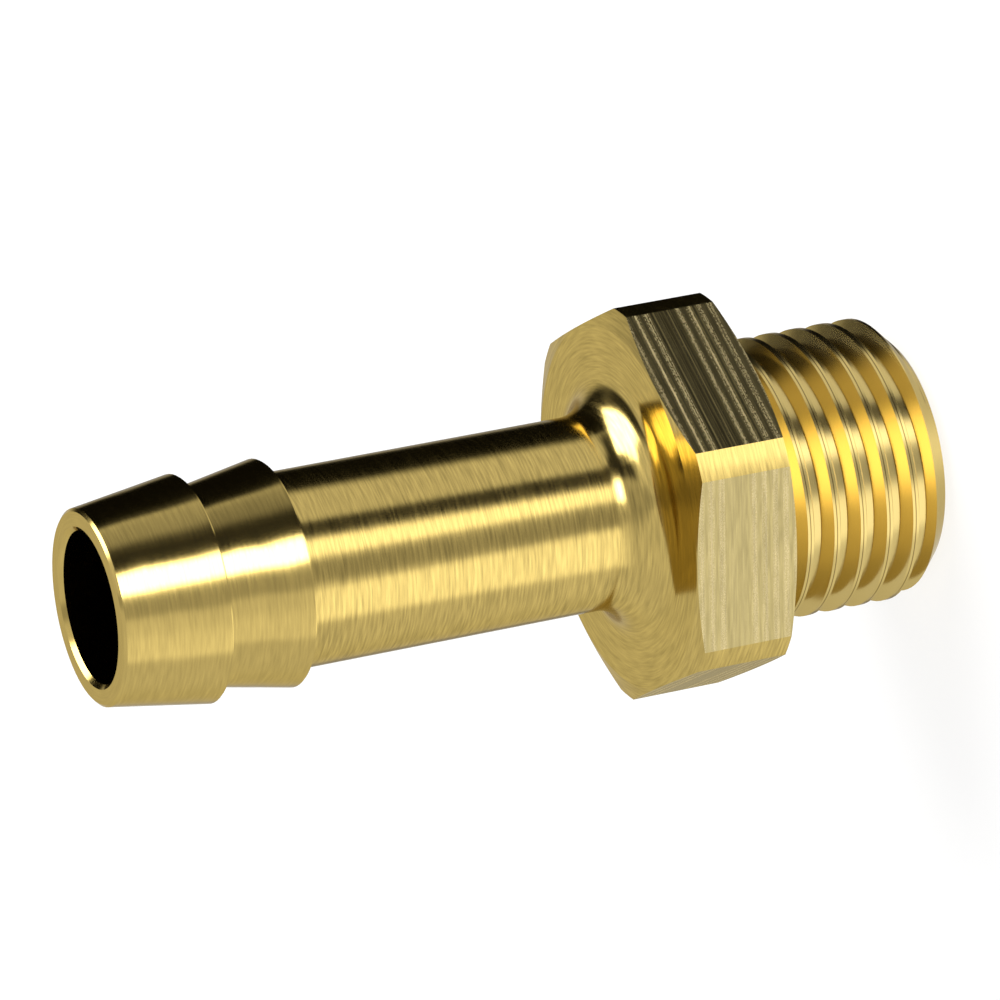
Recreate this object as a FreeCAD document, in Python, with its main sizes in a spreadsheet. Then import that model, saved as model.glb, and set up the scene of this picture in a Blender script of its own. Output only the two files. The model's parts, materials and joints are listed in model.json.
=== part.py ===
import FreeCAD, Part
import math
import os
import Sketcher

# Screw-in hose tail, turned in one piece from brass hexagon bar. All sizes are in millimetres.
# The axis is Z. The origin is on it, at the hexagon's face on the thread's side: the hose stem
# points up from there, through the hexagon, and the thread points down.

PART_NAME = "hose_tail"

SIZES = (
    ("hose_stem_length", 26.0, "from the stem's mouth to the hexagon"),
    ("tube_diameter", 9.0, "plain tube, and the foot of the rear barb"),
    ("nose_diameter", 9.0, "front barb at the mouth"),
    ("barb_diameter", 10.5, "sharp back edge of each barb"),
    ("front_barb_length", 4.9, "along the axis"),
    ("rear_barb_length", 4.0, "along the axis"),
    ("barb_edge_chamfer", 0.08, "breaks the back edge of each barb"),
    ("nose_chamfer", 0.12, "outer edge of the mouth"),
    ("shoulder_radius", 2.0, "fillet where the tube meets the hexagon"),
    ("bore_diameter", 7.0, "right through"),
    ("bore_chamfer", 0.2, "edge of the bore at each end"),
    ("hexagon_flats", 17.0, "across flats"),
    ("hexagon_thickness", 5.0, "along the axis"),
    ("hexagon_corners", 18.9, "diameter to which the six corners are turned"),
    ("face_margin", 0.05, "flat face's circle inside the flats"),
    ("hexagon_bevel", 18.0, "degrees from the face to the turned bevel"),
    ("thread_length", 9.0, "from the hexagon to the thread's end"),
    ("thread_diameter", 13.157, "over the crests"),
    ("thread_pitch", 1.337, "19 turns to the inch"),
    ("thread_depth", 0.68, "crest to root, along a radius"),
    ("flank_angle", 27.5, "degrees from a radius to each flank"),
    ("root_width", 0.33, "flat at the thread's root, along the axis"),
    ("end_chamfer", 1.0, "at 45 degrees on the thread's end"),
    ("relief_floor", 0.33, "width of the floor of the groove next to the hexagon"),
    ("relief_margin", 0.12, "how far that floor lies below the thread's root"),
    ("relief_slope", 30.0, "degrees from the hexagon's face to the groove's far wall"),
    ("thread_phase", 0.637, "centre of the thread's first groove on +X, below the hexagon"),
    ("thread_run_out", 0.65, "where the groove's centre stops in the relief, below the hexagon"),
    ("cutter_overrun", 0.1, "how far the thread's cutter reaches past the crests"),
)

STEM_TOP = "sizes.hexagon_thickness + sizes.hose_stem_length"
CREST = "sizes.thread_diameter / 2"
RELIEF = f"({CREST} - sizes.thread_depth - sizes.relief_margin)"
RELIEF_NEAR = f"(({CREST} - {RELIEF}) * tan(sizes.flank_angle * 1 deg))"
RELIEF_FAR = f"({RELIEF_NEAR} + sizes.relief_floor)"
RELIEF_END = f"({RELIEF_FAR} + ({CREST} - {RELIEF}) * tan(sizes.relief_slope * 1 deg))"
FACE_CIRCLE = "(sizes.hexagon_flats / 2 - sizes.face_margin)"
CORNER = "sizes.hexagon_corners / 2"
BEVEL_DROP = f"(({CORNER} - {FACE_CIRCLE}) * tan(sizes.hexagon_bevel * 1 deg))"


def add_sheet(doc):
    """Writes the driving dimensions into the document's sheet, one row each."""
    sheet = doc.addObject("Spreadsheet::Sheet", "sizes")
    for row, (alias, value, meaning) in enumerate(SIZES, start=1):
        sheet.set(f"A{row}", alias)
        sheet.set(f"B{row}", str(value))
        sheet.set(f"C{row}", meaning)
        sheet.setAlias(f"B{row}", alias)
    doc.recompute()
    return sheet


def origin_feature(body, role):
    """Finds one of the body's own origin planes or axes by its role."""
    return next(item for item in body.Origin.OriginFeatures if item.Role == role)


def new_sketch(body, name, plane):
    """Starts a sketch on one of the body's origin planes."""
    sketch = body.newObject("Sketcher::SketchObject", name)
    sketch.AttachmentSupport = (origin_feature(body, plane), [""])
    sketch.MapMode = "FlatFace"
    body.Document.recompute()
    return sketch


def number(sketch, expression):
    """Works out a length expression of the sheet as a plain number."""
    return float(sketch.evalExpression(expression))


def bind(sketch, constraint, expression):
    """Adds a dimension to the sketch and ties it to the sheet."""
    index = sketch.addConstraint(constraint)
    sketch.setExpression(f"Constraints[{index}]", expression)


def add_outline(sketch, corners):
    """Draws a closed outline; each corner is (out from the axis, along the axis) in words of the sheet."""
    places = [FreeCAD.Vector(number(sketch, out), number(sketch, along), 0) for out, along in corners]
    for start, end in zip(places, places[1:] + places[:1]):
        sketch.addGeometry(Part.LineSegment(start, end), False)
    for line in range(len(corners)):
        following = (line + 1) % len(corners)
        sketch.addConstraint(Sketcher.Constraint("Coincident", line, 2, following, 1))
    for line, (out, along) in enumerate(corners):
        pin_corner(sketch, line, "X", out)
        pin_corner(sketch, line, "Y", along)


def pin_corner(sketch, line, direction, expression):
    """Ties one coordinate of a line's first end to the sheet, or to the axis where it is nought."""
    if expression == "0":
        axis = -2 if direction == "X" else -1
        sketch.addConstraint(Sketcher.Constraint("PointOnObject", line, 1, axis))
        return
    value = number(sketch, expression)
    bind(sketch, Sketcher.Constraint(f"Distance{direction}", -1, 1, line, 1, value), expression)


def turn(body, kind, name, sketch):
    """Turns a profile about the axis: a Revolution adds it and a Groove cuts it away."""
    feature = body.newObject(kind, name)
    feature.Profile = sketch
    feature.ReferenceAxis = (sketch, ["V_Axis"])
    feature.Angle = 360
    body.Document.recompute()
    return feature


def add_hexagon(body):
    """The length of hexagon bar, with one of its corners on X."""
    sketch = new_sketch(body, "bar_section", "XY_Plane")
    corner = number(sketch, "sizes.hexagon_flats / 2") / math.cos(math.pi / 6)
    places = [
        FreeCAD.Vector(corner * math.cos(side * math.pi / 3), corner * math.sin(side * math.pi / 3), 0)
        for side in range(6)
    ]
    for start, end in zip(places, places[1:] + places[:1]):
        sketch.addGeometry(Part.LineSegment(start, end), False)
    sketch.addGeometry(Part.Circle(FreeCAD.Vector(0, 0, 0), FreeCAD.Vector(0, 0, 1), corner), True)
    circle = 6
    sketch.addConstraint(Sketcher.Constraint("Coincident", circle, 3, -1, 1))
    for side in range(6):
        following = (side + 1) % 6
        sketch.addConstraint(Sketcher.Constraint("Coincident", side, 2, following, 1))
        sketch.addConstraint(Sketcher.Constraint("PointOnObject", side, 1, circle))
        if side > 0:
            sketch.addConstraint(Sketcher.Constraint("Equal", 0, side))
    sketch.addConstraint(Sketcher.Constraint("PointOnObject", 0, 1, -1))
    bind(sketch, Sketcher.Constraint("Radius", circle, corner), "sizes.hexagon_flats / 2 / cos(30 deg)")
    pad = body.newObject("PartDesign::Pad", "hexagon")
    pad.Profile = sketch
    pad.setExpression("Length", "sizes.hexagon_thickness")
    body.Document.recompute()
    return pad


def turn_corners(body):
    """Turns the hexagon's corners down to a round and bevels both of its faces."""
    sketch = new_sketch(body, "corner_waste", "XZ_Plane")
    outside = "sizes.hexagon_flats"
    corners = [
        (FACE_CIRCLE, "0"),
        (outside, "0"),
        (outside, "sizes.hexagon_thickness"),
        (FACE_CIRCLE, "sizes.hexagon_thickness"),
        (CORNER, f"sizes.hexagon_thickness - {BEVEL_DROP}"),
        (CORNER, BEVEL_DROP),
    ]
    add_outline(sketch, corners)
    return turn(body, "PartDesign::Groove", "turned_corners", sketch)


def add_stem(body):
    """The hose stem: a plain tube with two barbs, each a cone that ends in a square back edge."""
    sketch = new_sketch(body, "stem_profile", "XZ_Plane")
    level = STEM_TOP
    corners = [("0", level), ("sizes.nose_diameter / 2", level)]
    for barb_length in ("sizes.front_barb_length", "sizes.rear_barb_length"):
        level = f"{level} - {barb_length}"
        corners.append(("sizes.barb_diameter / 2", level))
        corners.append(("sizes.tube_diameter / 2", level))
    corners.append(("sizes.tube_diameter / 2", "sizes.hexagon_thickness"))
    corners.append(("0", "sizes.hexagon_thickness"))
    add_outline(sketch, corners)
    return turn(body, "PartDesign::Revolution", "stem", sketch)


def add_thread_blank(body):
    """The threaded end before its thread is cut: relief groove, crest cylinder and end chamfer."""
    sketch = new_sketch(body, "thread_blank_profile", "XZ_Plane")
    corners = [
        ("0", "0"),
        (CREST, "0"),
        (RELIEF, f"-{RELIEF_NEAR}"),
        (RELIEF, f"-{RELIEF_FAR}"),
        (CREST, f"-{RELIEF_END}"),
        (CREST, "-(sizes.thread_length - sizes.end_chamfer)"),
        (f"{CREST} - sizes.end_chamfer", "-sizes.thread_length"),
        ("0", "-sizes.thread_length"),
    ]
    add_outline(sketch, corners)
    return turn(body, "PartDesign::Revolution", "thread_blank", sketch)


def drill_bore(body):
    """The bore, right through both ends."""
    sketch = new_sketch(body, "bore_section", "XY_Plane")
    radius = number(sketch, "sizes.bore_diameter / 2")
    sketch.addGeometry(Part.Circle(FreeCAD.Vector(0, 0, 0), FreeCAD.Vector(0, 0, 1), radius), False)
    sketch.addConstraint(Sketcher.Constraint("Coincident", 0, 3, -1, 1))
    bind(sketch, Sketcher.Constraint("Radius", 0, radius), "sizes.bore_diameter / 2")
    pocket = body.newObject("PartDesign::Pocket", "bore")
    pocket.Profile = sketch
    pocket.SideType = "Two sides"
    pocket.Type = "ThroughAll"
    pocket.Type2 = "ThroughAll"
    body.Document.recompute()
    return pocket


def ring_edges(feature, radius, level):
    """Names the feature's round edges of this radius about the axis at this height."""
    names = []
    for index, edge in enumerate(feature.Shape.Edges, start=1):
        curve = edge.Curve
        if not isinstance(curve, Part.Circle):
            continue
        same_radius = math.isclose(curve.Radius, radius, abs_tol=Part.Precision.confusion())
        same_level = math.isclose(curve.Center.z, level, abs_tol=Part.Precision.confusion())
        if same_radius and same_level:
            names.append(f"Edge{index}")
    if not names:
        raise RuntimeError(f"no round edge of radius {radius} at height {level}")
    return names


def break_edges(body, kind, name, places, amount):
    """Adds a Fillet or a Chamfer on the round edges at (radius, height), both in words of the sheet."""
    before = body.Tip
    names = []
    for radius, level in places:
        names += ring_edges(before, number(before, radius), number(before, level))
    feature = body.newObject(kind, name)
    feature.Base = (before, names)
    size = "Radius" if kind == "PartDesign::Fillet" else "Size"
    feature.setExpression(size, amount)
    body.Document.recompute()
    return feature


def finish_edges(body):
    """The shoulder fillet, the broken edges of barbs and mouth, and the bore's two chamfers."""
    front_back = f"{STEM_TOP} - sizes.front_barb_length"
    barb_backs = [
        ("sizes.barb_diameter / 2", front_back),
        ("sizes.barb_diameter / 2", f"{front_back} - sizes.rear_barb_length"),
    ]
    bore_ends = [
        ("sizes.bore_diameter / 2", STEM_TOP),
        ("sizes.bore_diameter / 2", "-sizes.thread_length"),
    ]
    shoulder = [("sizes.tube_diameter / 2", "sizes.hexagon_thickness")]
    mouth = [("sizes.nose_diameter / 2", STEM_TOP)]
    return [
        break_edges(body, "PartDesign::Fillet", "shoulder", shoulder, "sizes.shoulder_radius"),
        break_edges(body, "PartDesign::Chamfer", "barb_edges", barb_backs, "sizes.barb_edge_chamfer"),
        break_edges(body, "PartDesign::Chamfer", "mouth_edge", mouth, "sizes.nose_chamfer"),
        break_edges(body, "PartDesign::Chamfer", "bore_edges", bore_ends, "sizes.bore_chamfer"),
    ]


def draw_cutter(body, depth):
    """The thread's groove in section, with its centre this far below the hexagon."""
    sketch = new_sketch(body, "thread_cutter", "XZ_Plane")
    root = f"({CREST} - sizes.thread_depth)"
    edge = f"({CREST} + sizes.cutter_overrun)"
    root_half = "sizes.root_width / 2"
    edge_half = f"({root_half} + ({edge} - {root}) * tan(sizes.flank_angle * 1 deg))"
    corners = [
        (edge, f"{edge_half} - ({depth})"),
        (root, f"{root_half} - ({depth})"),
        (root, f"-({root_half}) - ({depth})"),
        (edge, f"-{edge_half} - ({depth})"),
    ]
    add_outline(sketch, corners)
    return sketch


def cut_thread(body):
    """Cuts the right-hand thread, from below the end up to the relief groove."""
    turns_below = "ceil(sizes.thread_length / sizes.thread_pitch)"
    start = f"sizes.thread_phase + {turns_below} * sizes.thread_pitch"
    sketch = draw_cutter(body, start)
    helix = body.newObject("PartDesign::SubtractiveHelix", "thread")
    helix.Profile = sketch
    helix.ReferenceAxis = (sketch, ["V_Axis"])
    helix.Mode = "pitch-height-angle"
    helix.setExpression("Pitch", "sizes.thread_pitch")
    helix.setExpression("Height", f"{start} - sizes.thread_run_out")
    helix.LeftHanded = False
    helix.Reversed = False
    body.Document.recompute()
    return helix


def build(doc):
    """Builds the one body and checks that every step added or removed metal as it should."""
    add_sheet(doc)
    body = doc.addObject("PartDesign::Body", PART_NAME)
    body.Label = PART_NAME
    doc.recompute()
    steps = [add_hexagon(body)]
    steps.append(turn_corners(body))
    steps.append(add_stem(body))
    steps.append(add_thread_blank(body))
    steps.append(drill_bore(body))
    steps += finish_edges(body)
    steps.append(cut_thread(body))
    body.Tip = steps[-1]
    doc.recompute()
    adds = ("hexagon", "stem", "thread_blank", "shoulder")
    volume = 0.0
    for step in steps:
        grew = step.Shape.Volume > volume
        if grew != (step.Name in adds):
            raise RuntimeError(f"{step.Name} changed the volume the wrong way")
        volume = step.Shape.Volume
        print(f"{step.Name}: {volume:.2f} mm3")
    return body


def check(doc):
    """Stops if any object of the document failed."""
    for item in doc.Objects:
        if "Invalid" in item.State or "Error" in item.State:
            raise RuntimeError(f"{item.Name} failed: {item.State}")


def write(body):
    """Writes the body's solid to the file named after its label."""
    shape = body.Shape
    if shape.isNull() or not shape.isValid() or len(shape.Solids) != 1:
        raise RuntimeError(f"{body.Label} isn't one valid solid")
    os.makedirs("parts", exist_ok=True)
    shape.exportStep(f"parts/{body.Label}.step")
    box = shape.optimalBoundingBox()
    print(f"{body.Label}: {box.XLength:.3f} x {box.YLength:.3f} x {box.ZLength:.3f} mm")


document = FreeCAD.newDocument("hose_tail_model")
tail = build(document)
check(document)
write(tail)
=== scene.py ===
import json
import logging
import math
from dataclasses import dataclass
from enum import Enum
from typing import Iterable, Union

import bpy
from mathutils import Matrix, Vector


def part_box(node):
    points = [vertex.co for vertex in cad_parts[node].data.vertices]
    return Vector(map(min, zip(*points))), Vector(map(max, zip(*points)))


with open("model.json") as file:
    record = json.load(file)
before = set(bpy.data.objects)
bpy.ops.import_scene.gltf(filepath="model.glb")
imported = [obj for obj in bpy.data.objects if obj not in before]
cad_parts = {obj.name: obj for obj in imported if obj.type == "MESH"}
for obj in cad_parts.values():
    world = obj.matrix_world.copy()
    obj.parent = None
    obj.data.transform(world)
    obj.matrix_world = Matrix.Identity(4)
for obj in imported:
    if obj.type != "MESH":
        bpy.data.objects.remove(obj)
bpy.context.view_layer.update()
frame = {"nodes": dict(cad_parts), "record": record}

MILLIMETRE = 0.001
NOISE_MEAN = 0.5
HALF_TURN = 180.0
WHITE = (1.0, 1.0, 1.0, 1.0)

Tree = bpy.types.NodeTree
Socket = bpy.types.NodeSocket
Triple = tuple[float, float, float]
Number = Union[Socket, float]
Value = Union[Socket, float, tuple[float, ...]]

log = logging.getLogger("hose_tail")


class Spread(Enum):
    """Which way a noise varies: along one line, or all through the metal."""

    ALONG = "1D"
    THROUGH = "3D"


class Part(Enum):
    """The parts of a mesh that are shaded smooth or sharp."""

    FACES = "FACE"
    EDGES = "EDGE"


def link(tree: Tree, output: Socket, target: Socket) -> None:
    """Joins one socket to another in a node tree."""
    tree.links.new(output, target)


def feed(tree: Tree, target: Socket, term: Value) -> None:
    """Gives an input what it needs.

    Args:
        tree: the node tree that holds it.
        target: the input's socket.
        term: the socket to link to it, or its plain value.
    """
    if isinstance(term, Socket):
        link(tree, term, target)
    else:
        target.default_value = term


def fill(tree: Tree, node: bpy.types.Node, *terms: Value) -> None:
    """Feeds a node's first inputs in their order.

    Args:
        tree: the node tree that holds the node.
        node: the node.
        terms: the socket to link to each input, or its plain value.
    """
    for target, term in zip(node.inputs, terms):
        feed(tree, target, term)


def arithmetic(tree: Tree, operation: str, *terms: Number) -> Socket:
    """Adds a Math node.

    Args:
        tree: the node tree that gets the node.
        operation: the node's operation, such as "ADD".
        terms: a socket or a plain number for each input in order.

    Returns:
        The result's socket.
    """
    node = tree.nodes.new("ShaderNodeMath")
    node.operation = operation
    fill(tree, node, *terms)
    return node.outputs[0]


def apart(tree: Tree, one: Number, other: Number) -> Socket:
    """Adds the nodes that tell how far apart two numbers are."""
    return arithmetic(tree, "ABSOLUTE", arithmetic(tree, "SUBTRACT", one, other))


def vectors(tree: Tree, operation: str, *terms: Value) -> Socket:
    """Adds a Vector Math node.

    Args:
        tree: the node tree that gets the node.
        operation: the node's operation, such as "ADD".
        terms: a socket or three plain numbers for each input in order.

    Returns:
        The result's socket.
    """
    node = tree.nodes.new("ShaderNodeVectorMath")
    node.operation = operation
    fill(tree, node, *terms)
    return node.outputs["Value" if operation == "DOT_PRODUCT" else "Vector"]


def combine(tree: Tree, east: Number, north: Number, height: Number) -> Socket:
    """Makes a vector of three numbers.

    Args:
        tree: the node tree that gets the node.
        east: its X, as a socket or a plain number.
        north: its Y.
        height: its Z.

    Returns:
        The vector's socket.
    """
    node = tree.nodes.new("ShaderNodeCombineXYZ")
    fill(tree, node, east, north, height)
    return node.outputs[0]


def split(tree: Tree, vector: Socket) -> tuple[Socket, Socket, Socket]:
    """Splits a vector.

    Args:
        tree: the node tree that gets the node.
        vector: the vector's socket.

    Returns:
        The sockets of its X, Y and Z.
    """
    node = tree.nodes.new("ShaderNodeSeparateXYZ")
    fill(tree, node, vector)
    return tuple(node.outputs)


def fade(tree: Tree, value: Socket, full: float, none: float) -> Socket:
    """Maps a value smoothly to 1 at one end of a range and to 0 at the other.

    Args:
        tree: the node tree that gets the node.
        value: the socket of what is mapped.
        full: the value at which the result is 1.
        none: the value at which the result is 0.

    Returns:
        The mapped value's socket.
    """
    node = tree.nodes.new("ShaderNodeMapRange")
    node.interpolation_type = "SMOOTHSTEP"
    fill(tree, node, value, full, none, 1.0, 0.0)
    return node.outputs["Result"]


def blend(tree: Tree, mask: Socket, outside: Value, inside: Value) -> Socket:
    """Mixes two colours by a mask.

    Args:
        tree: the node tree that gets the node.
        mask: the mask's socket.
        outside: the colour, or its socket, where the mask is 0.
        inside: the colour, or its socket, where the mask is 1.

    Returns:
        The mixed colour's socket.
    """
    node = tree.nodes.new("ShaderNodeMix")
    node.data_type = "RGBA"
    link(tree, mask, node.inputs["Factor"])
    targets = [target for target in node.inputs if target.type == "RGBA"]
    for target, colour in zip(targets, (outside, inside)):
        feed(tree, target, colour if isinstance(colour, Socket) else (*colour, 1.0))
    return next(output for output in node.outputs if output.type == "RGBA")


def noise(tree: Tree, place: Socket, spread: Spread, detail: float = 1.0) -> Socket:
    """Adds a noise texture.

    Args:
        tree: the node tree that gets the node.
        place: the socket that says where it is read, a number along a line or else a vector.
        spread: which way it varies.
        detail: how much finer detail it has.

    Returns:
        The noise's socket.
    """
    node = tree.nodes.new("ShaderNodeTexNoise")
    node.noise_dimensions = spread.value
    node.inputs["Scale"].default_value = 1.0
    node.inputs["Detail"].default_value = detail
    link(tree, place, node.inputs["W" if spread is Spread.ALONG else "Vector"])
    return node.outputs["Fac"]


@dataclass(frozen=True)
class Zones:
    """Where each finish lies on the part.

    Sizes are in millimetres. A reach is counted from the axis, and a height from the hexagon's face
    on the thread's side. The change of finish below the barbs is spread by the blur to each side. A
    slope is how far the surface's normal points up, from -1 to 1.
    """

    flat_reach: float
    bore_reach: float
    barbs_height: float
    barbs_blur: float = 0.2
    barb_edge_reach: float = 5.13
    crest_reach: float = 6.5
    slack: float = 0.1
    side_slope: float = 0.2
    face_slope: float = 0.7
    back_slope: float = -0.4


@dataclass(frozen=True)
class ToolMarks:
    """How strongly the tools' marks show.

    The lines have one strength on the barbs and one below them, less what the end faces and the
    flats take off it. The flats' streaks are mixed from fibres, specks and lines round a mean, and
    the plain band keeps a share of them. The band and the painted shade line along the crests are
    full in their core and gone at their rim, which are shares of their width counted from their
    middle. The flats' lean drifts by a share of itself, and the wear is the lines' noise read at an
    offset. Lengths are in millimetres.
    """

    on_barbs: float = 0.5
    below_barbs: float = 1.0
    off_faces: float = 0.2
    off_flats: float = 0.38
    fibres: float = 2.4
    fibre_detail: float = 2.0
    specks: float = 2.6
    speck_length: float = 0.09
    speck_width: float = 0.045
    lines: float = 0.4
    streaks_mean: float = 0.85
    streaks_in_band: float = 0.14
    band_core: float = 0.42
    band_rim: float = 0.6
    # The core and rim of the painted shade line along the crests.
    crest_shade_core: float = 0.2
    crest_shade_rim: float = 0.75
    flats_drift: float = 0.7
    barb_edge_lean: float = 0.7
    wear_offset: Triple = (17.0, 31.0, 7.0)


class TurnedLines:
    """The shader group of the lines that the tools leave, and of where each finish lies.

    It puts out the surface's height in millimetres and its normal, the masks of the lines, of their
    wear, of the flats' streaks and of the painted shade line along the crests, the masks of the
    flats, of the bore, where shade is painted on the walls, and of the thread, and how plainly the
    lines show.
    """

    OUTPUTS = ("Height", "Lines", "Wear", "Streaks", "Seam", "Flats", "Bore", "Threaded", "Plain")

    def __init__(self, inputs: Iterable[str], zones: Zones, marks: ToolMarks) -> None:
        """Starts the group with its sockets, and reads the surface's place, way and zone.

        Args:
            inputs: the names of the group's own sizes, which are in millimetres.
            zones: where each finish lies.
            marks: how strongly the marks show.
        """
        self.zones = zones
        self.marks = marks
        self.tree = bpy.data.node_groups.new("turned_lines", "ShaderNodeTree")
        for name in inputs:
            self.tree.interface.new_socket(name, in_out="INPUT", socket_type="NodeSocketFloat")
        for name in self.OUTPUTS:
            self.tree.interface.new_socket(name, in_out="OUTPUT", socket_type="NodeSocketFloat")
        self.tree.interface.new_socket("Normal", in_out="OUTPUT", socket_type="NodeSocketVector")
        self.sizes = self.tree.nodes.new("NodeGroupInput").outputs
        where = self.tree.nodes.new("ShaderNodeTexCoord")
        self.place = where.outputs["Object"]
        self.facing = where.outputs["Normal"]
        self.east, self.north, self.height = (
            self.work("MULTIPLY", length, 1.0 / MILLIMETRE) for length in split(self.tree, self.place)
        )
        eastward = self.work("MULTIPLY", self.east, self.east)
        self.radius = self.work("SQRT", self.work("MULTIPLY_ADD", self.north, self.north, eastward))
        self.slope = split(self.tree, self.facing)[2]
        steep = self.work("ABSOLUTE", self.slope)
        sides = self.work("LESS_THAN", steep, zones.side_slope)
        inside = self.work("LESS_THAN", self.radius, zones.bore_reach + zones.slack)
        self.faces = self.work("GREATER_THAN", steep, zones.face_slope)
        self.flats = self.work("MULTIPLY", self.as_far_as_flats(), sides)
        # The bore's walls, where the material paints shade.
        self.bore = self.work("MULTIPLY", inside, sides)
        self.over_thread = self.work("GREATER_THAN", self.height, 0.0)
        self.threaded = self.work("SUBTRACT", 1.0, self.over_thread)

    def work(self, operation: str, *terms: Number) -> Socket:
        """Adds a Math node to the group and gives its result's socket."""
        return arithmetic(self.tree, operation, *terms)

    def as_far_as_flats(self) -> Socket:
        """Finds where the surface's plane is as far from the axis as the hexagon's flats are.

        Returns:
            The mask's socket.
        """
        reach = vectors(self.tree, "DOT_PRODUCT", self.place, self.facing)
        return self.work(
            "COMPARE", reach, self.zones.flat_reach * MILLIMETRE, self.zones.slack * MILLIMETRE
        )

    def build(self) -> Tree:
        """Fills the group.

        Returns:
            The finished group.
        """
        lines, wear = self.lines()
        fibre_place = self.work("DIVIDE", self.height, self.sizes["Line Width"])
        fibres = noise(self.tree, fibre_place, Spread.ALONG, self.marks.fibre_detail)
        bare = self.work("MULTIPLY", lines, self.over_thread)
        leave = self.tree.nodes.new("NodeGroupOutput")
        for name, output in (
            ("Height", self.work("MULTIPLY", bare, self.sizes["Line Height"])),
            ("Lines", lines),
            ("Wear", wear),
            ("Streaks", self.streaks(lines, fibres)),
            ("Seam", self.crest_shade()),
            ("Flats", self.flats),
            ("Bore", self.bore),
            ("Threaded", self.threaded),
            ("Plain", self.plain()),
            ("Normal", self.leaning(fibres)),
        ):
            link(self.tree, output, leave.inputs[name])
        return self.tree

    def lines(self) -> tuple[Socket, Socket]:
        """Draws the lines: round the axis, as rings on the end faces, and straight on the flats.

        Returns:
            The sockets of the lines, and of wear that has their form but lies in other places.
        """
        step = self.work("SUBTRACT", self.radius, self.height)
        across = self.work("MULTIPLY_ADD", step, self.faces, self.height)
        spot = combine(
            self.tree,
            self.work("DIVIDE", self.east, self.sizes["Line Length"]),
            self.work("DIVIDE", self.north, self.sizes["Line Length"]),
            self.work("DIVIDE", across, self.sizes["Line Width"]),
        )
        aside = vectors(self.tree, "ADD", spot, self.marks.wear_offset)
        return noise(self.tree, spot, Spread.THROUGH), noise(self.tree, aside, Spread.THROUGH)

    def plain(self) -> Socket:
        """Says how plainly the lines show, which is not at all on the thread.

        Returns:
            The strength's socket.
        """
        marks = self.marks
        foot, blur = self.zones.barbs_height, self.zones.barbs_blur
        low = fade(self.tree, self.height, foot - blur, foot + blur)
        strength = self.work("MULTIPLY_ADD", self.faces, -marks.off_faces, marks.on_barbs)
        strength = self.work("MULTIPLY_ADD", self.flats, -marks.off_flats, strength)
        strength = self.work("MULTIPLY_ADD", low, marks.below_barbs - marks.on_barbs, strength)
        return self.work("MULTIPLY", strength, self.over_thread)

    def streaks(self, lines: Socket, fibres: Socket) -> Socket:
        """Lays the flats' pale streaks, which fibres and specks break up, apart from one plain band.

        Args:
            lines: the lines' socket.
            fibres: the socket of fine straight fibres along the flats.

        Returns:
            The mask's socket.
        """
        marks = self.marks
        from_start = self.work("SUBTRACT", self.height, self.sizes["Streak Start"])
        passes = self.work("DIVIDE", from_start, self.sizes["Streak Pitch"])
        swing = self.work("COSINE", self.work("MULTIPLY", passes, math.tau))
        swell = self.work("MULTIPLY_ADD", swing, 0.5, 0.5)
        from_band = apart(self.tree, self.height, self.sizes["Band Middle"])
        band_share = self.work("DIVIDE", from_band, self.sizes["Band Width"])
        band = fade(self.tree, band_share, marks.band_core, marks.band_rim)
        kept = self.work("MULTIPLY_ADD", band, marks.streaks_in_band - 1.0, 1.0)
        length, width = (1.0 / (size * MILLIMETRE) for size in (marks.speck_length, marks.speck_width))
        speck_place = vectors(self.tree, "MULTIPLY", self.place, (length, length, width))
        specks = noise(self.tree, speck_place, Spread.THROUGH)
        start = marks.streaks_mean - NOISE_MEAN * (marks.lines + marks.specks + marks.fibres)
        uneven = self.work("MULTIPLY_ADD", lines, marks.lines, start)
        uneven = self.work("MULTIPLY_ADD", specks, marks.specks, uneven)
        uneven = self.work("MULTIPLY_ADD", fibres, marks.fibres, uneven)
        broken = self.work("MULTIPLY", uneven, kept)
        return self.work("MULTIPLY", self.work("MULTIPLY", swell, broken), self.flats)

    def crest_shade(self) -> Socket:
        """Draws a dark line of painted shade along the middle of the thread's crests, in place of the
        shade between each crest's two highlights.

        Returns:
            The mask's socket.
        """
        bearing = self.work("DIVIDE", self.work("ARCTAN2", self.north, self.east), math.tau)
        down_thread = self.work("ADD", self.height, self.sizes["Thread Start"])
        turns = self.work("DIVIDE", down_thread, self.sizes["Thread Pitch"])
        in_turn = self.work("FRACT", self.work("SUBTRACT", turns, bearing))
        off_crest = self.work("MULTIPLY", apart(self.tree, in_turn, 0.5), self.sizes["Thread Pitch"])
        crest_shade_share = self.work("DIVIDE", off_crest, self.sizes["Seam Width"])
        crest_shade = fade(self.tree, crest_shade_share, self.marks.crest_shade_core, self.marks.crest_shade_rim)
        proud = self.work("GREATER_THAN", self.radius, self.zones.crest_reach)
        return self.work("MULTIPLY", crest_shade, self.work("MULTIPLY", proud, self.threaded))

    def leaning(self, fibres: Socket) -> Socket:
        """Leans the normal up on the flats, a little unevenly, and on the barbs' back edges.

        Args:
            fibres: the socket of fine straight fibres along the flats.

        Returns:
            The normal's socket.
        """
        zones, marks = self.zones, self.marks
        drift = self.work("MULTIPLY_ADD", fibres, marks.flats_drift, 1.0 - NOISE_MEAN * marks.flats_drift)
        on_flats = self.work("MULTIPLY", self.work("MULTIPLY", drift, self.flats), self.sizes["Lean"])
        backward = self.work("LESS_THAN", self.slope, zones.back_slope)
        outer = self.work("GREATER_THAN", self.radius, zones.barb_edge_reach)
        high = self.work("GREATER_THAN", self.height, zones.barbs_height - zones.barbs_blur)
        barb_edges = self.work("MULTIPLY", self.work("MULTIPLY", outer, backward), high)
        lean = self.work("MULTIPLY_ADD", barb_edges, marks.barb_edge_lean, on_flats)
        leaning = vectors(self.tree, "ADD", self.facing, combine(self.tree, 0.0, 0.0, lean))
        return vectors(self.tree, "NORMALIZE", leaning)


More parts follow.
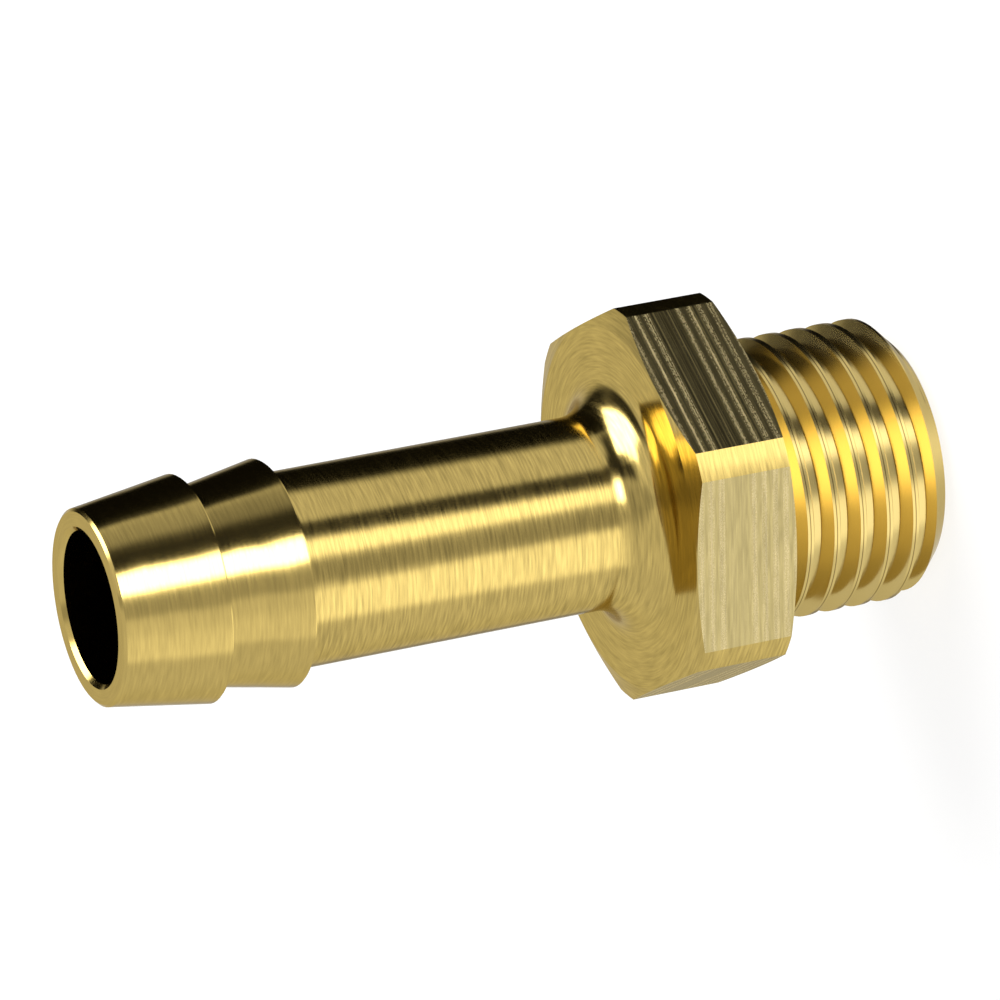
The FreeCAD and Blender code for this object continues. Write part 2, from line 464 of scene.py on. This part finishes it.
@dataclass(frozen=True)
class Brass:
    """Turned brass with the tool's lines running round the axis.

    Sizes are in millimetres. A turned end face has its lines as rings round the axis. The hexagon's
    flats are milled, with straight lines square to the axis. Their shading leans towards the barbs,
    and pale dull streaks lie along them, apart from one plain band. The thread's crests have a fine
    dark line of painted shade along their middle, and the bore's walls are painted dark as shade.
    """

    name: str = "turned_brass"
    colour: Triple = (0.50, 0.371, 0.115)
    edge_tint: Triple = (0.72, 0.66, 0.52)
    flat_colour: Triple = (0.475, 0.385, 0.165)
    streak_colour: Triple = (0.60, 0.49, 0.245)
    thread_colour: Triple = (0.54, 0.415, 0.155)
    # Painted shade: a dark line along the thread's crests, standing in for the shade between each crest's
    # two highlights.
    crest_shade_colour: Triple = (0.20, 0.14, 0.04)
    # Painted shade: the bore's walls are painted dark for the shade deep inside the bore.
    bore_shade_colour: Triple = (0.18, 0.12, 0.03)
    smooth: float = 0.10
    rough: float = 0.20
    thread_rough: float = 0.18
    streak_rough: float = 0.29
    anisotropy: float = 0.5
    line_width: float = 0.10
    line_length: float = 1.3
    line_contrast: float = 0.95
    line_height: float = 0.0006
    streak_pitch: float = 0.53
    streak_start: float = 1.6
    band_middle: float = 2.9
    band_width: float = 1.1
    lean: float = 0.30
    thread_pitch: float = 1.337
    thread_start: float = 0.637
    # The width of the painted shade line along the crests.
    crest_shade_width: float = 0.05
    marks: ToolMarks = ToolMarks()

    def material(self, zones: Zones) -> bpy.types.Material:
        """Makes the material.

        Args:
            zones: where each of its finishes lies.

        Returns:
            The finished material.
        """
        material = bpy.data.materials.new(self.name)
        material.use_nodes = True
        tree = material.node_tree
        shader = tree.nodes["Principled BSDF"]
        shader.inputs["Metallic"].default_value = 1.0
        shader.inputs["Anisotropic"].default_value = self.anisotropy
        shader.inputs["Specular Tint"].default_value = (*self.edge_tint, 1.0)
        lines = self.place_lines(tree, zones)
        bump = tree.nodes.new("ShaderNodeBump")
        bump.inputs["Distance"].default_value = MILLIMETRE
        link(tree, lines.outputs["Height"], bump.inputs["Height"])
        link(tree, lines.outputs["Normal"], bump.inputs["Normal"])
        tangent = tree.nodes.new("ShaderNodeTangent")
        tangent.direction_type = "RADIAL"
        tangent.axis = "Z"
        for name, output in (
            ("Base Color", self.tint(tree, lines)),
            ("Roughness", self.roughness(tree, lines)),
            ("Normal", bump.outputs["Normal"]),
            ("Tangent", tangent.outputs["Tangent"]),
        ):
            link(tree, output, shader.inputs[name])
        return material

    def place_lines(self, tree: Tree, zones: Zones) -> bpy.types.Node:
        """Places the lines' group in the material with this finish's sizes.

        Args:
            tree: the material's node tree.
            zones: where each finish lies.

        Returns:
            The group's node.
        """
        sizes = {
            "Line Width": self.line_width,
            "Line Length": self.line_length,
            "Line Height": self.line_height,
            "Streak Pitch": self.streak_pitch,
            "Streak Start": self.streak_start,
            "Band Middle": self.band_middle,
            "Band Width": self.band_width,
            "Lean": self.lean,
            "Thread Pitch": self.thread_pitch,
            "Thread Start": self.thread_start,
            "Seam Width": self.crest_shade_width,
        }
        lines = tree.nodes.new("ShaderNodeGroup")
        lines.node_tree = TurnedLines(sizes, zones, self.marks).build()
        for name, size in sizes.items():
            lines.inputs[name].default_value = size
        return lines

    def tint(self, tree: Tree, lines: bpy.types.Node) -> Socket:
        """Colours each zone, darker and lighter along the lines, with painted shade on the bore's walls
        and a painted shade line along the thread's crests.

        Args:
            tree: the material's node tree.
            lines: the node of the lines' group.

        Returns:
            The colour's socket.
        """
        streaked = blend(tree, lines.outputs["Streaks"], self.flat_colour, self.streak_colour)
        milled = blend(tree, lines.outputs["Flats"], self.colour, streaked)
        screwed = blend(tree, lines.outputs["Threaded"], milled, self.thread_colour)
        off = arithmetic(tree, "SUBTRACT", lines.outputs["Lines"], NOISE_MEAN)
        depth = arithmetic(tree, "MULTIPLY", lines.outputs["Plain"], self.line_contrast)
        gain = arithmetic(tree, "MULTIPLY_ADD", off, depth, 1.0)
        lined = vectors(tree, "MULTIPLY", screwed, gain)
        # Painted shade: a dark line along the middle of the thread's crests.
        crest_shaded = blend(tree, lines.outputs["Seam"], lined, self.crest_shade_colour)
        # Painted shade: the bore's walls are painted dark.
        return blend(tree, lines.outputs["Bore"], crest_shaded, self.bore_shade_colour)

    def roughness(self, tree: Tree, lines: bpy.types.Node) -> Socket:
        """Makes the lines' wear, the thread and the streaks duller than the rest.

        Args:
            tree: the material's node tree.
            lines: the node of the lines' group.

        Returns:
            The roughness's socket.
        """
        worn = arithmetic(tree, "MULTIPLY", lines.outputs["Wear"], lines.outputs["Plain"])
        turned = arithmetic(tree, "MULTIPLY_ADD", worn, self.rough - self.smooth, self.smooth)
        cut = arithmetic(tree, "MULTIPLY", lines.outputs["Threaded"], self.thread_rough - self.smooth)
        duller = self.streak_rough - self.smooth
        dull = arithmetic(tree, "MULTIPLY_ADD", lines.outputs["Streaks"], duller, cut)
        return arithmetic(tree, "ADD", turned, dull)


@dataclass(frozen=True)
class Matt:
    """A matt grey for the stage, which may glow where the camera sees it."""

    name: str
    grey: float
    glow: float = 0.0

    def material(self) -> bpy.types.Material:
        """Makes the material.

        Returns:
            The finished material.
        """
        material = bpy.data.materials.new(self.name)
        material.use_nodes = True
        tree = material.node_tree
        shader = tree.nodes["Principled BSDF"]
        shader.inputs["Base Color"].default_value = (self.grey, self.grey, self.grey, 1.0)
        shader.inputs["Roughness"].default_value = 1.0
        shader.inputs["Specular IOR Level"].default_value = 0.0
        if self.glow:
            shader.inputs["Emission Color"].default_value = WHITE
            seen = tree.nodes.new("ShaderNodeLightPath")
            glow = arithmetic(tree, "MULTIPLY", seen.outputs["Is Camera Ray"], self.glow)
            link(tree, glow, shader.inputs["Emission Strength"])
        return material


@dataclass
class HoseTail:
    """The turned tail, which is the frame's own solid with its facets smoothed.

    The barbs' length, of both together, is in millimetres.
    """

    node: str = "hose_tail"
    bore_mount: str = "bore"
    barbs_length: float = 8.9
    finish: Brass = Brass()
    crease: float = math.radians(15.0)
    merge: float = 0.0005 * MILLIMETRE

    def build(self) -> bpy.types.Object:
        """Smooths the solid's round faces and gives it its finish.

        Returns:
            The dressed object.
        """
        tail = frame["nodes"][self.node]
        weld = tail.modifiers.new("joined_facets", "WELD")
        weld.merge_threshold = self.merge
        smooth = tail.modifiers.new("smooth_faces", "NODES")
        smooth.node_group = self.smoothing()
        weighted = tail.modifiers.new("true_normals", "WEIGHTED_NORMAL")
        weighted.mode = "FACE_AREA"
        weighted.keep_sharp = True
        tail.data.materials.clear()
        tail.data.materials.append(self.finish.material(self.zones()))
        return tail

    def zones(self) -> Zones:
        """Finds where each finish lies, from the solid's highest corner and the bore's mount.

        Returns:
            The zones.
        """
        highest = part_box(self.node)[1] / MILLIMETRE
        bore = next(mount for mount in frame["record"]["mounts"] if mount["name"] == self.bore_mount)
        return Zones(
            flat_reach=highest.y,
            bore_reach=bore["dims"]["r_mm"],
            barbs_height=highest.z - self.barbs_length,
        )

    def smoothing(self) -> Tree:
        """Builds the node group that shades faces smooth, apart from their creases.

        Returns:
            The geometry group.
        """
        group = bpy.data.node_groups.new("smooth_but_for_creases", "GeometryNodeTree")
        for way in ("INPUT", "OUTPUT"):
            group.interface.new_socket("Geometry", in_out=way, socket_type="NodeSocketGeometry")
        entry = group.nodes.new("NodeGroupInput")
        leave = group.nodes.new("NodeGroupOutput")
        faces = self.shading(group, Part.FACES, True)
        edges = self.shading(group, Part.EDGES, False)
        angle = group.nodes.new("GeometryNodeInputMeshEdgeAngle")
        sharp = group.nodes.new("FunctionNodeCompare")
        sharp.data_type = "FLOAT"
        sharp.operation = "GREATER_THAN"
        sharp.inputs["B"].default_value = self.crease
        link(group, angle.outputs["Unsigned Angle"], sharp.inputs["A"])
        link(group, sharp.outputs["Result"], edges.inputs["Selection"])
        link(group, entry.outputs["Geometry"], faces.inputs["Geometry"])
        link(group, faces.outputs["Geometry"], edges.inputs["Geometry"])
        link(group, edges.outputs["Geometry"], leave.inputs["Geometry"])
        return group

    def shading(self, group: Tree, part: Part, smooth: bool) -> bpy.types.Node:
        """Adds the node that shades faces or edges smooth or sharp.

        Args:
            group: the geometry group that gets the node.
            part: which of them it shades.
            smooth: whether they become smooth.

        Returns:
            The node.
        """
        node = group.nodes.new("GeometryNodeSetShadeSmooth")
        node.domain = part.value
        node.inputs["Shade Smooth"].default_value = smooth
        return node


@dataclass(frozen=True)
class Card:
    """One soft box, or dark flag, of the studio round the part.

    Angles are in degrees: azimuth is counted from the studio's front, and elevation from the floor's
    level. The side fade and the end fade reach to both sides of the edges.
    """

    name: str
    azimuth: float
    half_width: float
    side_fade: float
    elevation: float
    half_height: float
    end_fade: float
    strength: float


@dataclass
class Studio:
    """The pale floor and the light round the part.

    Sizes are in metres and angles in degrees. The front is where the camera stands, to a quarter of a
    degree. The cards hang in front of each other in their order, the first at the back.
    """

    front_azimuth: float = -66.07
    fill: float = 0.954
    floor_size: float = 4.0
    floor_finish: Matt = Matt("pale_floor", grey=0.20, glow=0.80)
    disc_radius: float = 3.6 * MILLIMETRE
    disc_gap: float = 0.05 * MILLIMETRE
    disc_finish: Matt = Matt("black_disc", grey=0.0)
    # A card's numbers: azimuth, half width, side fade, elevation, half height, end fade, strength.
    cards: tuple[Card, ...] = (
        Card("sky_shade", 0.0, 24.0, 14.0, 60.0, 45.0, 8.0, 0.56),
        Card("back_shade", -161.0, 7.0, 4.0, -25.0, 8.0, 6.0, 0.4),
        Card("rear_shade", 170.0, 12.0, 4.0, -24.0, 16.0, 8.0, 0.5),
        Card("under_glow", 0.0, 200.0, 1.0, -84.0, 16.0, 6.0, 4.0),
        Card("low_left", -92.0, 26.0, 8.0, -50.0, 24.0, 5.0, 1.6),
        Card("low_right", 82.0, 24.0, 8.0, -48.0, 21.0, 5.0, 1.5),
        Card("low_box", -49.0, 22.0, 6.0, -32.5, 29.5, 11.0, 1.95),
        Card("mid_box", -52.0, 16.0, 6.0, 4.0, 8.0, 5.0, 1.25),
        Card("box_end", -30.0, 12.0, 9.0, 3.0, 9.0, 8.0, 1.05),
        Card("front_shade", -9.0, 12.0, 5.0, -4.0, 24.0, 7.0, 0.62),
        Card("front_low", -9.0, 12.0, 5.0, -21.0, 7.0, 5.0, 0.47),
        Card("side_shade", 66.0, 24.0, 8.0, 14.5, 18.5, 10.0, 0.04),
        Card("corner_shade", 52.0, 9.0, 7.0, 6.0, 14.0, 6.0, 0.04),
        Card("low_strip", 17.5, 9.2, 4.5, -20.0, 22.0, 6.0, 2.6),
        Card("low_glow", 3.0, 36.0, 20.0, -62.0, 28.0, 7.0, 6.2),
        Card("narrow_flag", 40.0, 10.3, 4.0, 9.0, 42.0, 8.0, 0.02),
        Card("strip_edge", 7.0, 7.0, 6.0, 0.0, 9.0, 7.0, 1.2),
        Card("strip", 17.5, 11.3, 4.5, 0.0, 9.0, 7.0, 9.5),
        Card("black_flag", 126.5, 31.0, 7.0, -8.0, 38.0, 8.0, 0.005),
        Card("black_corner", 116.0, 24.0, 4.0, 4.0, 14.0, 3.0, 0.005),
        Card("upper_flag", 144.0, 13.0, 5.0, 44.0, 17.0, 6.0, 0.03),
        Card("over_box", 94.0, 32.0, 5.0, 39.0, 21.0, 3.0, 7.8),
    )

    def build(self, floor_level: float) -> None:
        """Lays the floor and lights the part.

        Args:
            floor_level: the floor's height in metres.
        """
        self.lay_floor(floor_level)
        self.close_bore(floor_level)
        self.light()

    def lay_floor(self, level: float) -> None:
        """Lays the floor that the part stands on, which the metal doesn't mirror.

        Args:
            level: the floor's height in metres.
        """
        bpy.ops.object.select_all(action="DESELECT")
        bpy.ops.mesh.primitive_plane_add(size=self.floor_size, location=(0.0, 0.0, level))
        floor = bpy.context.object
        floor.name = "floor"
        floor.visible_glossy = False
        floor.visible_shadow = False
        floor.data.materials.append(self.floor_finish.material())

    def close_bore(self, level: float) -> None:
        """Lays a black disc under the bore, where the metal sees no floor, to keep light out of it.

        Args:
            level: the floor's height in metres.
        """
        bpy.ops.object.select_all(action="DESELECT")
        bpy.ops.mesh.primitive_circle_add(
            radius=self.disc_radius, fill_type="NGON", location=(0.0, 0.0, level + self.disc_gap)
        )
        disc = bpy.context.object
        disc.name = "bore_disc"
        disc.visible_camera = False
        disc.visible_shadow = False
        disc.visible_diffuse = False
        disc.data.materials.append(self.disc_finish.material())

    def light(self) -> None:
        """Sets the world to the studio's fill and its cards, and white where the camera sees it."""
        world = bpy.data.worlds.new("studio")
        bpy.context.scene.world = world
        world.use_nodes = True
        tree = world.node_tree
        tree.nodes.clear()
        where = tree.nodes.new("ShaderNodeTexCoord")
        turned = tree.nodes.new("ShaderNodeMapping")
        turned.vector_type = "VECTOR"
        turned.inputs["Rotation"].default_value = (0.0, 0.0, math.radians(-self.front_azimuth))
        link(tree, where.outputs["Generated"], turned.inputs["Vector"])
        east, north, height = split(tree, turned.outputs["Vector"])
        azimuth = arithmetic(tree, "DEGREES", arithmetic(tree, "ARCTAN2", north, east))
        elevation = arithmetic(tree, "DEGREES", arithmetic(tree, "ARCSINE", height))
        radiance = self.fill
        for card in self.cards:
            radiance = self.hang(tree, card, azimuth, elevation, radiance)
        seen = tree.nodes.new("ShaderNodeLightPath")
        rest = arithmetic(tree, "SUBTRACT", 1.0, radiance)
        strength = arithmetic(tree, "MULTIPLY_ADD", rest, seen.outputs["Is Camera Ray"], radiance)
        background = tree.nodes.new("ShaderNodeBackground")
        background.inputs["Color"].default_value = WHITE
        link(tree, strength, background.inputs["Strength"])
        leave = tree.nodes.new("ShaderNodeOutputWorld")
        link(tree, background.outputs[0], leave.inputs["Surface"])

    def hang(self, tree: Tree, card: Card, azimuth: Socket, elevation: Socket, behind: Number) -> Socket:
        """Hangs one card in front of what is there already.

        Args:
            tree: the world's node tree.
            card: the card.
            azimuth: the socket of the direction's azimuth.
            elevation: the socket of the direction's elevation.
            behind: the light without this card, or its socket.

        Returns:
            The socket of the light with it.
        """
        off = arithmetic(tree, "SUBTRACT", azimuth, card.azimuth)
        aside = arithmetic(tree, "ABSOLUTE", arithmetic(tree, "WRAP", off, HALF_TURN, -HALF_TURN))
        over = apart(tree, elevation, card.elevation)
        width = fade(tree, aside, card.half_width - card.side_fade, card.half_width + card.side_fade)
        height = fade(tree, over, card.half_height - card.end_fade, card.half_height + card.end_fade)
        mask = arithmetic(tree, "MULTIPLY", width, height)
        gain = arithmetic(tree, "SUBTRACT", card.strength, behind)
        return arithmetic(tree, "MULTIPLY_ADD", gain, mask, behind)


@dataclass
class View:
    """The camera, which looks down on the part past its barbed mouth and is turned on its side.

    Lengths are in millimetres and angles in degrees.
    """

    aim: Triple = (1.200, 0.527, 10.613)
    distance: float = 345.904
    azimuth: float = -66.306
    elevation: float = 21.813
    roll: float = -100.750
    lens: float = 273.63

    def build(self) -> None:
        """Places the camera and makes it the scene's."""
        level = math.radians(self.elevation)
        bearing = math.radians(self.azimuth)
        reach = math.cos(level)
        back = Vector((reach * math.cos(bearing), reach * math.sin(bearing), math.sin(level)))
        data = bpy.data.cameras.new("camera")
        data.lens = self.lens
        camera = bpy.data.objects.new("camera", data)
        place = (Vector(self.aim) + back * self.distance) * MILLIMETRE
        turn = back.to_track_quat("Z", "Y").to_matrix().to_4x4()
        roll = Matrix.Rotation(math.radians(self.roll), 4, "Z")
        camera.matrix_world = Matrix.Translation(place) @ turn @ roll
        bpy.context.scene.collection.objects.link(camera)
        bpy.context.scene.camera = camera


def main() -> None:
    """Dresses the tail and sets the floor, the light and the camera."""
    logging.basicConfig(level=logging.INFO, format="%(message)s")
    scene = bpy.context.scene
    scene.view_settings.view_transform = "Standard"
    tail = HoseTail().build()
    log.info("%s: %d facets", tail.name, len(tail.data.polygons))
    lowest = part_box(HoseTail.node)[0].z
    Studio().build(lowest)
    View().build()


if __name__ == "__main__":
    main()
